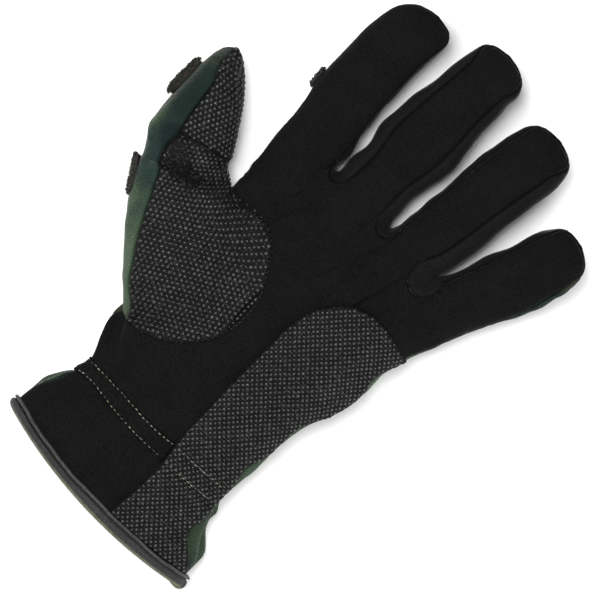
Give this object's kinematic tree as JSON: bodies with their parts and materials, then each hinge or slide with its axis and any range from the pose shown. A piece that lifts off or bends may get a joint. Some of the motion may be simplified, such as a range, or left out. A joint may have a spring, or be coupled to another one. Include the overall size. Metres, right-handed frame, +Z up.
{
  "type": "fishing glove",
  "caption": "Left-hand fishing glove lying palm up: black knit palm, camouflage back, dotted grip patches on the thumb and heel, a stitched wrist band and a taped cuff; hollow, for a hand.",
  "frame": {"origin": "middle of the bounding box in plan, on the surface that the glove lies on", "axes": "+Y from the cuff to the fingertips, -X to the thumb side, +Z up out of the palm"},
  "size_m": [0.1936, 0.2774, 0.0323],
  "materials": {
    "palm_knit": "matte knitted face",
    "camouflage_knit": null,
    "strip_knit": "matte knit, light sheen at the rim",
    "grip_cloth": "dark cloth with small glossy raised dots",
    "band_knit": "matte, with light stitches",
    "cuff_tape": "woven tape, matte",
    "hook_and_loop": "fuzzy"
  },
  "bodies": {
    "root": {"palm_panel": "palm_knit", "back_panel": "camouflage_knit", "index_middle_fourchette": "strip_knit", "middle_ring_fourchette": "strip_knit", "ring_pinky_fourchette": "strip_knit", "thumb_grip_panel": "grip_cloth", "thumb_cap": "grip_cloth", "thumb_back_panel": "camouflage_knit", "heel_grip_panel": "grip_cloth", "wrist_band": "band_knit", "cuff_binding": "cuff_tape", "thumb_cap_hook_tab": "hook_and_loop", "thumb_base_loop_tab": "hook_and_loop", "index_loop_tab": "hook_and_loop", "index_cap_hook_tab": "hook_and_loop"}
  },
  "joints": []
}
